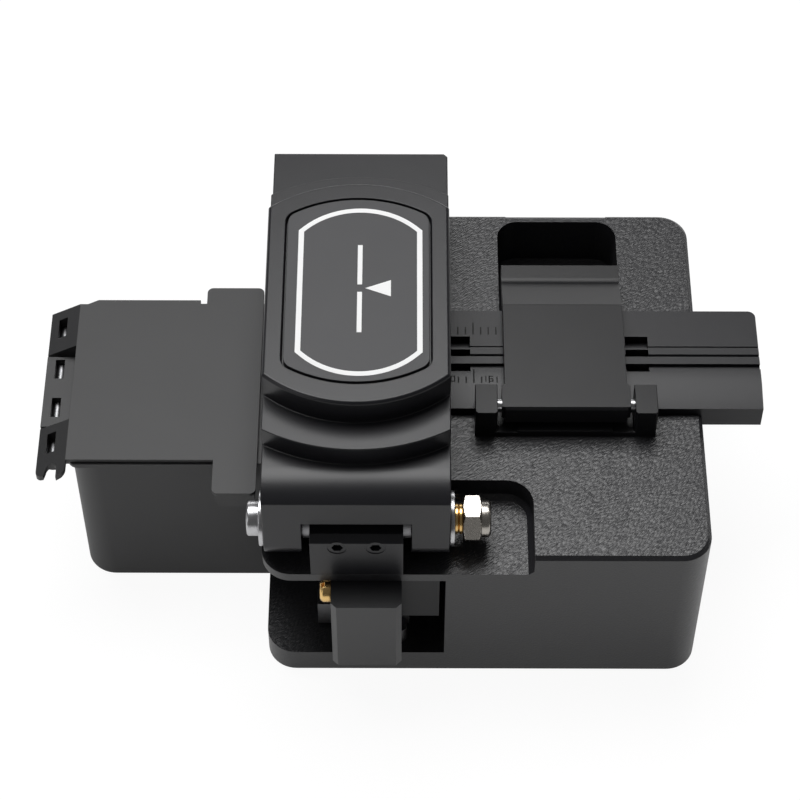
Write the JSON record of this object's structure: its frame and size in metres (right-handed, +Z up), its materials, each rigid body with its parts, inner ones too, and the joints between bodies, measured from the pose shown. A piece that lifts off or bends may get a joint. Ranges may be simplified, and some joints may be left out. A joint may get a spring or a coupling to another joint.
{
  "type": "fibre cleaver",
  "caption": "Bench fibre cleaver: square black base with a hinged clamping arm, grooved fibre bar with a flip-up clamp, sliding blade carriage and a lidded scrap box.",
  "frame": {"origin": "centre of the base underside, where its rubber mat rests", "axes": "+X along the fibre bar towards its overhanging end, +Y from the hinge side to the far side, +Z up"},
  "size_m": [0.0936, 0.0608, 0.0455],
  "materials": {
    "housing_black": "textured black powder coat on aluminium",
    "arm_black": "satin black anodised aluminium",
    "label_black": "matt dark grey anodised plate with a white border line",
    "bar_black": "fine-blasted black anodised aluminium with engraved scale",
    "clamp_black": "satin black anodised aluminium",
    "box_black": "matt black moulded plastic",
    "knob_black": "matt black moulded plastic",
    "bright_steel": "bright machined steel",
    "plated_nut": "bright plated steel",
    "brass": "turned brass",
    "blade_carbide": "ground carbide",
    "disc_aluminium": "clear anodised aluminium",
    "rubber_black": "matt black rubber",
    "jaw_rubber": "dark grey rubber",
    "magnet_nickel": "nickel-plated magnet"
  },
  "bodies": {
    "base": {"base_housing": "housing_black", "base_mat": "rubber_black", "hinge_block": "arm_black", "hinge_set_screws": "arm_black", "hinge_bolt": "bright_steel", "hinge_washers": "bright_steel", "hinge_bush": "brass", "hinge_nut": "plated_nut", "hinge_spacers": "bright_steel", "base_magnet": "magnet_nickel", "lower_jaw_blocks": "bright_steel", "lower_jaw_pads": "jaw_rubber", "fibre_bar": "bar_black", "clamp_bracket": "clamp_black", "clamp_pin": "bright_steel", "guide_rail": "bright_steel", "carriage_stops": "bright_steel", "scrap_box": "box_black", "scrap_hinge_pin": "bright_steel"},
    "arm": {"arm_lever": "arm_black", "label_plate": "label_black", "arm_anvil": "bright_steel", "arm_magnet": "magnet_nickel", "upper_jaw_blocks": "bright_steel", "upper_jaw_pads": "jaw_rubber"},
    "clamp_lid": {"clamp_plate": "clamp_black", "clamp_pad": "jaw_rubber"},
    "carriage": {"rail_runners": "bright_steel", "carriage_frame": "clamp_black", "near_knob": "knob_black", "far_knob": "knob_black", "height_screw": "brass", "blade_axle": "bright_steel"},
    "blade": {"blade_wheel": "blade_carbide", "index_disc": "disc_aluminium"},
    "scrap_cover": {"scrap_cover": "box_black"}
  },
  "joints": [
    {"name": "arm_hinge", "type": "hinge", "parent": "base", "child": "arm", "pos_m": [-0.01617, -0.0227, 0.0278], "axis": [1, 0, 0], "range_deg": [0, 75]},
    {"name": "clamp_hinge", "type": "hinge", "parent": "base", "child": "clamp_lid", "pos_m": [0.0104, -0.0071, 0.03065], "axis": [1, 0, 0], "range_deg": [0, 100]},
    {"name": "carriage_slide", "type": "slide", "parent": "base", "child": "carriage", "axis": [0, 1, 0], "range_m": [0, 0.014]},
    {"name": "blade_turn", "type": "hinge", "parent": "carriage", "child": "blade", "pos_m": [-0.01557, -0.007, 0.01895], "axis": [1, 0, 0], "continuous": true},
    {"name": "scrap_cover_hinge", "type": "hinge", "parent": "base", "child": "scrap_cover", "pos_m": [-0.05585, 0, 0.0232], "axis": [0, -1, 0], "range_deg": [0, 110]}
  ]
}
